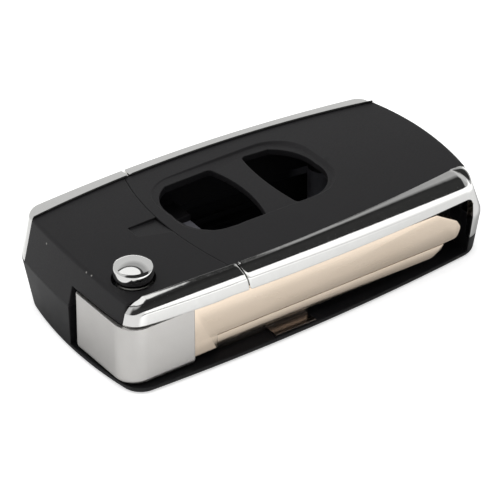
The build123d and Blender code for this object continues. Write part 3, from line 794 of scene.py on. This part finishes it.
def fit_button(chrome):
    """The button's cap: a low dome, a full round rim and a side that draws in to its neck. Each point
    is a radius from the pivot and a height."""
    crown = [(0.02, 21.46)] + arc((0.0, 15.66), 5.8, 88.0, 57.0, 16)
    rim = arc((2.67, 19.77), 0.9, 55.0, 0.0, 14)
    side = arc((0.3, 18.95), 3.24, 8.0, -35.0, 10)
    neck = [(2.8, 17.08), (2.7, 16.95), (0.02, 16.95)]
    work = bmesh.new()
    turned(work, crown + rim + side[2:] + neck, PIVOT)
    piece = new_piece("release_button", chrome)
    fill(piece, work, 60.0)
    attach(piece, "button")
    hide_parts("release_button_cap")


# Key blade

def round_corner(before, at, after, radius, count=6):
    """Replaces one corner of an outline with a short arc."""
    if radius <= 0:
        return [at]
    a, b, c = Vector(before), Vector(at), Vector(after)
    back, on = (a - b).normalized(), (c - b).normalized()
    half = back.angle(on) / 2
    run = min(radius / math.tan(half), 0.48 * (a - b).length, 0.48 * (c - b).length)
    first, last = b + back * run, b + on * run
    made = []
    for i in range(count + 1):
        t = i / count
        made.append(tuple(first * (1 - t) ** 2 + b * 2 * t * (1 - t) + last * t ** 2))
    return made


def outline_of(corners):
    """An outline from corners of x, z and radius."""
    points = [c[:2] for c in corners]
    made = []
    for i, (x, z, radius) in enumerate(corners):
        made += round_corner(points[i - 1], (x, z), points[(i + 1) % len(points)], radius)
    return made


def plate(work, outline, near, back, slant=None, edge=0.1):
    """A flat plate with softly broken edges. slant gives the near face's set-back from a point's
    height."""
    middle = sum((Vector(point) for point in outline), Vector((0.0, 0.0))) / len(outline)
    levels = (
        (edge, near),
        (0.3 * edge, near + 0.3 * edge),
        (0.0, near + edge),
        (0.0, back - edge),
        (edge, back),
    )
    rings = []
    for inset, y in levels:
        ring = []
        for i, point in enumerate(outline):
            before, after = Vector(outline[i - 1]), Vector(outline[(i + 1) % len(outline)])
            run = (after - before).normalized()
            normal = Vector((-run.y, run.x))
            if normal.dot(middle - Vector(point)) < 0 and abs(run.x) > 0.95:
                normal = -normal
            at = Vector(point) + normal * inset
            set_back = slant(at.y) if slant and y < (near + back) / 2 else 0.0
            ring.append((at.x, y + set_back, at.y))
        rings.append(ring)
    skin(work, rings)


# The blade's near and back face across the key, and the height of the stamped line
BLADE_FACES = (-7.6, -5.4)
BLADE_LINE_Z = 5.4


def band_set_back(z):
    """How far the band below the stamped line lies behind the blade's face."""
    return max(0.0, BLADE_LINE_Z - z) * 0.04


def at_pivot(work):
    """Moves a mesh drawn about the pivot to where the key lies at rest."""
    turn = Matrix.Rotation(KEY_LEAN, 4, "Z")
    bmesh.ops.transform(work, matrix=Matrix.Translation((*PIVOT, 0.0)) @ turn, verts=work.verts)


def fit_blade(nickel_silver):
    """The uncut blade: a flat face, and below its stamped line a lower band that slopes inward. Each
    corner is a place along the blade, a height and a radius."""
    face = [
        (7.02, 12.78, 0.0),
        (7.02, 2.75, 0.0),
        (12.0, 2.75, 0.25),
        (12.0, 5.45, 0.1),
        (61.2, 5.45, 0.4),
        (64.1, 5.6, 1.4),
        (64.95, 7.6, 1.3),
        (64.0, 9.2, 1.3),
        (59.3, 12.1, 1.3),
    ]
    band = [
        (7.1, 5.42, 0.0),
        (7.1, 3.25, 0.0),
        (58.6, 3.25, 2.2),
        (60.6, 4.4, 1.2),
        (61.3, 5.42, 0.2),
    ]
    work = bmesh.new()
    plate(work, outline_of(face), *BLADE_FACES)
    plate(work, outline_of(band), *BLADE_FACES, slant=band_set_back, edge=0.14)
    at_pivot(work)
    piece = new_piece("uncut_blade", nickel_silver)
    fill(piece, work, 30.0)
    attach(piece, "key")
    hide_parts("key_blade")


# Dressing the part

def dress():
    """Gives every node of the part its finish, and fits the pieces that need more shape."""
    abs_top = moulded_black_abs()
    abs_bottom = polished_abs_painted_darker()
    plating = chrome_plated_abs()
    steel = plain_steel()
    chrome = polished_chrome()
    nickel_silver = drawn_nickel_silver()
    finishes = {
        "key_module_top_cover": abs_top,
        "remote_top_cover": abs_top,
        "key_module_bottom_cover": abs_bottom,
        "remote_bottom_cover": abs_bottom,
        "near_front_strip": plating,
        "near_rear_strip": plating,
        "far_front_strip": plating,
        "far_rear_strip": plating,
        "joining_tongue": rolled_bright_steel(),
        "key_head": satin_zinc_casting(),
        "key_blade": nickel_silver,
        "release_button_cap": chrome,
    }
    for name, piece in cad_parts.items():
        for slot in piece.material_slots:
            slot.material = finishes.get(name, steel)
    fit_strips(plating)
    fit_button(chrome)
    fit_blade(nickel_silver)


bpy.context.scene.view_settings.view_transform = "Standard"
set_camera()
set_room()
set_lamp()
set_floor()
dress()
